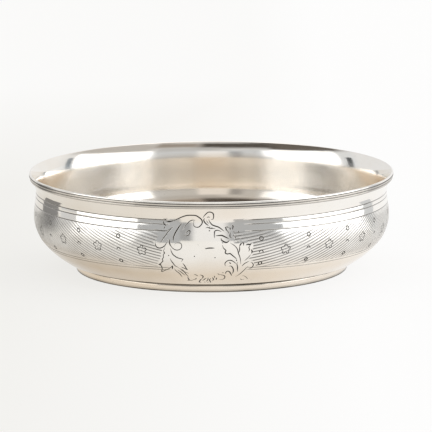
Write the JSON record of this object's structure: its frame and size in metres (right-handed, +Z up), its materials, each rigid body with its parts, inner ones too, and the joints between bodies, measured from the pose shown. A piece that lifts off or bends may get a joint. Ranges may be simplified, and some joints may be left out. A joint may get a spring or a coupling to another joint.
{
  "type": "silver bowl",
  "caption": "Round shallow silver bowl with a flared reeded lip, a rounded belly between turned grooves, an engraved blank cartouche and a low ring foot.",
  "frame": {"origin": "on the surface the bowl stands on, under the middle of the bowl", "axes": "+Z up along the axis of the bowl; the engraved cartouche faces -Y; +X is to the right of someone who looks at the cartouche"},
  "size_m": [0.15, 0.15, 0.0402],
  "materials": {
    "bowl_silver": "polished",
    "wire_silver": "polished",
    "foot_silver": "polished",
    "hard_solder": "satin"
  },
  "bodies": {
    "root": {"bowl_body": "bowl_silver", "rim_wire": "wire_silver", "foot_ring": "foot_silver", "foot_solder": "hard_solder"}
  },
  "joints": []
}
